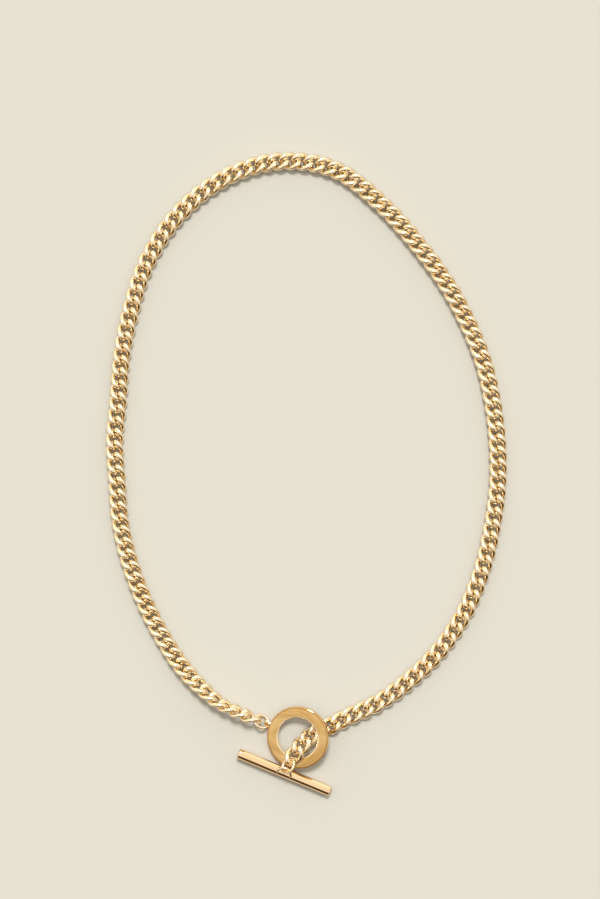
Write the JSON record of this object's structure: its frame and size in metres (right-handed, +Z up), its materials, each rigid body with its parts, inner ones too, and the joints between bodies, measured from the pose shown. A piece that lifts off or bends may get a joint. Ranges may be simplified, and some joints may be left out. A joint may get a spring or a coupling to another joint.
{
  "type": "chain necklace",
  "caption": "Curb chain necklace laid in a long oval, its end links passed through a flat ring and stopped by a slim bar, joined by small wire loops.",
  "frame": {"origin": "under the middle of the box of the necklace as it lies, on the surface it lies on", "axes": "+Z up from the table, +Y from the clasp to the far end of the loop, +X to the right of someone who has the clasp nearest"},
  "size_m": [0.1168, 0.1876, 0.0066],
  "materials": {
    "chain_gold": "polished warm gold plating on twisted wire links",
    "clasp_gold": "polished gold plating with fine handling swirls",
    "bar_gold": "brushed and polished pale gold plating"
  },
  "bodies": {
    "clasp_ring": {"toggle_ring": "clasp_gold", "ring_eye": "clasp_gold"},
    "left_1": {"ring_jump_ring": "clasp_gold", "link_001": "chain_gold", "link_002": "chain_gold", "link_003": "chain_gold", "link_004": "chain_gold", "link_005": "chain_gold", "link_006": "chain_gold", "link_007": "chain_gold", "links_008_011": "chain_gold"},
    "left_2": {"links_012_015": "chain_gold"},
    "left_3": {"links_016_019": "chain_gold"},
    "left_4": {"links_020_022": "chain_gold"},
    "left_side": {"links_023_026": "chain_gold", "links_027_029": "chain_gold", "links_030_032": "chain_gold"},
    "left_6": {"links_033_035": "chain_gold"},
    "left_7": {"links_036_039": "chain_gold"},
    "left_8": {"links_040_043": "chain_gold"},
    "left_9": {"links_044_047": "chain_gold"},
    "left_10": {"links_048_051": "chain_gold"},
    "far_end": {"links_052_054": "chain_gold", "links_055_057": "chain_gold", "links_058_060": "chain_gold", "links_061_063": "chain_gold"},
    "right_10": {"links_064_068": "chain_gold"},
    "right_9": {"links_069_072": "chain_gold"},
    "right_8": {"links_073_076": "chain_gold"},
    "right_7": {"links_077_081": "chain_gold"},
    "right_6": {"links_082_085": "chain_gold"},
    "right_side": {"links_086_088": "chain_gold", "links_089_091": "chain_gold", "links_092_095": "chain_gold"},
    "right_4": {"links_096_097": "chain_gold"},
    "right_3": {"links_098_101": "chain_gold"},
    "right_2": {"links_102_105": "chain_gold"},
    "right_1": {"links_106_109": "chain_gold", "links_110_113": "chain_gold", "link_114": "chain_gold", "link_115": "chain_gold", "link_116": "chain_gold", "link_117": "chain_gold"},
    "bar_end": {"link_118": "chain_gold", "link_119": "chain_gold", "link_120": "chain_gold", "link_121": "chain_gold", "link_122": "chain_gold"},
    "bar_jump_ring": {"bar_jump_ring": "clasp_gold"},
    "toggle_bar": {"toggle_bar": "bar_gold", "bar_eye": "clasp_gold"}
  },
  "joints": [
    {"name": "loop_lift", "type": "hinge", "parent": "clasp_ring", "child": "left_1", "pos_m": [-0.01167, -0.07257, 0.00131], "axis": [1, -0.005, 0.0034], "range_deg": [0, 12]},
    {"name": "lower_fold", "type": "hinge", "parent": "left_1", "child": "left_2", "pos_m": [-0.04274, -0.04597, 0.0014], "axis": [0.9999, -0.0144, 0], "range_deg": [0, 18]},
    {"name": "lower_fold_left_2", "type": "hinge", "parent": "left_2", "child": "left_3", "pos_m": [-0.04888, -0.03317, 0.00139], "axis": [0.9999, -0.0163, 0], "range_deg": [0, 18]},
    {"name": "middle_fold", "type": "hinge", "parent": "left_3", "child": "left_4", "pos_m": [-0.05317, -0.01963, 0.0014], "axis": [0.9999, -0.0151, 0], "range_deg": [0, 18]},
    {"name": "sway", "type": "hinge", "parent": "left_4", "child": "left_side", "pos_m": [-0.05483, -0.00911, 0.0014], "axis": [0, 0, 1], "range_deg": [-12, 12]},
    {"name": "sway_left_2", "type": "hinge", "parent": "left_side", "child": "left_6", "pos_m": [-0.05458, 0.02631, 0.0014], "axis": [0, 0, 1], "range_deg": [-12, 12]},
    {"name": "upper_fold", "type": "hinge", "parent": "left_6", "child": "left_7", "pos_m": [-0.05354, 0.03691, 0.0014], "axis": [0.9998, -0.0196, 0], "range_deg": [0, 18]},
    {"name": "upper_fold_left_2", "type": "hinge", "parent": "left_7", "child": "left_8", "pos_m": [-0.05047, 0.05078, 0.0014], "axis": [1, 0.0026, 0], "range_deg": [0, 18]},
    {"name": "top_fold", "type": "hinge", "parent": "left_8", "child": "left_9", "pos_m": [-0.04553, 0.06407, 0.0014], "axis": [0.9999, -0.0147, 0], "range_deg": [0, 18]},
    {"name": "end_fold", "type": "hinge", "parent": "left_9", "child": "left_10", "pos_m": [-0.03747, 0.07573, 0.0014], "axis": [0.9996, -0.0293, 0], "range_deg": [0, 18]},
    {"name": "end_fold_left_2", "type": "hinge", "parent": "left_10", "child": "far_end", "pos_m": [-0.02663, 0.08486, 0.0014], "axis": [0.9997, 0.0236, 0], "range_deg": [0, 18]},
    {"name": "end_fold_right_2", "type": "hinge", "parent": "far_end", "child": "right_10", "pos_m": [0.01362, 0.08581, 0.0014], "axis": [-0.9997, -0.0236, 0], "range_deg": [0, 18]},
    {"name": "end_fold_right_1", "type": "hinge", "parent": "right_10", "child": "right_9", "pos_m": [0.02672, 0.07385, 0.0014], "axis": [-0.9996, 0.0293, 0], "range_deg": [0, 18]},
    {"name": "top_fold_right_1", "type": "hinge", "parent": "right_9", "child": "right_8", "pos_m": [0.03575, 0.06288, 0.0014], "axis": [-0.9999, 0.0147, 0], "range_deg": [0, 18]},
    {"name": "upper_fold_right_2", "type": "hinge", "parent": "right_8", "child": "right_7", "pos_m": [0.04357, 0.05103, 0.0014], "axis": [-1, -0.0026, 0], "range_deg": [0, 18]},
    {"name": "upper_fold_right_1", "type": "hinge", "parent": "right_7", "child": "right_6", "pos_m": [0.05091, 0.03487, 0.0014], "axis": [-0.9998, 0.0196, 0], "range_deg": [0, 18]},
    {"name": "sway_right_2", "type": "hinge", "parent": "right_6", "child": "right_side", "pos_m": [0.0543, 0.02108, 0.0014], "axis": [0, 0, 1], "range_deg": [-12, 12]},
    {"name": "sway_right_1", "type": "hinge", "parent": "right_side", "child": "right_4", "pos_m": [0.05432, -0.01426, 0.0014], "axis": [0, 0, 1], "range_deg": [-12, 12]},
    {"name": "middle_fold_right_1", "type": "hinge", "parent": "right_4", "child": "right_3", "pos_m": [0.05296, -0.02123, 0.0014], "axis": [-0.9999, 0.0151, 0], "range_deg": [0, 18]},
    {"name": "lower_fold_right_2", "type": "hinge", "parent": "right_3", "child": "right_2", "pos_m": [0.04865, -0.03476, 0.0014], "axis": [-0.9999, 0.0163, 0], "range_deg": [0, 18]},
    {"name": "lower_fold_right_1", "type": "hinge", "parent": "right_2", "child": "right_1", "pos_m": [0.04182, -0.04719, 0.0014], "axis": [-0.9999, 0.0144, 0], "range_deg": [0, 18]},
    {"name": "loop_lift_right", "type": "hinge", "parent": "right_1", "child": "bar_end", "pos_m": [0.00843, -0.07267, 0.00138], "axis": [-1, 0.005, -0.0034], "range_deg": [0, 12]},
    {"name": "bar_lift", "type": "hinge", "parent": "bar_end", "child": "bar_jump_ring", "pos_m": [-0.00447, -0.0831, 0.0046], "axis": [-0.8655, 0.5008, 0], "range_deg": [0, 45]},
    {"name": "bar_turn", "type": "hinge", "parent": "bar_jump_ring", "child": "toggle_bar", "pos_m": [-0.00622, -0.08612, 0.0047], "axis": [0, 0, 1], "range_deg": [-12, 12]}
  ],
  "couplings": [
    {"joint": "loop_lift_right", "follows": "loop_lift", "ratio": 1},
    {"joint": "lower_fold_right_1", "follows": "lower_fold", "ratio": 1},
    {"joint": "lower_fold_left_2", "follows": "lower_fold", "ratio": 1},
    {"joint": "lower_fold_right_2", "follows": "lower_fold", "ratio": 1},
    {"joint": "middle_fold_right_1", "follows": "middle_fold", "ratio": 1},
    {"joint": "upper_fold_right_1", "follows": "upper_fold", "ratio": 1},
    {"joint": "upper_fold_left_2", "follows": "upper_fold", "ratio": 1},
    {"joint": "upper_fold_right_2", "follows": "upper_fold", "ratio": 1},
    {"joint": "top_fold_right_1", "follows": "top_fold", "ratio": 1},
    {"joint": "end_fold_right_1", "follows": "end_fold", "ratio": 1},
    {"joint": "end_fold_left_2", "follows": "end_fold", "ratio": 1},
    {"joint": "end_fold_right_2", "follows": "end_fold", "ratio": 1},
    {"joint": "sway_left_2", "follows": "sway", "ratio": -1},
    {"joint": "sway_right_2", "follows": "sway", "ratio": 1},
    {"joint": "sway_right_1", "follows": "sway", "ratio": -1}
  ]
}
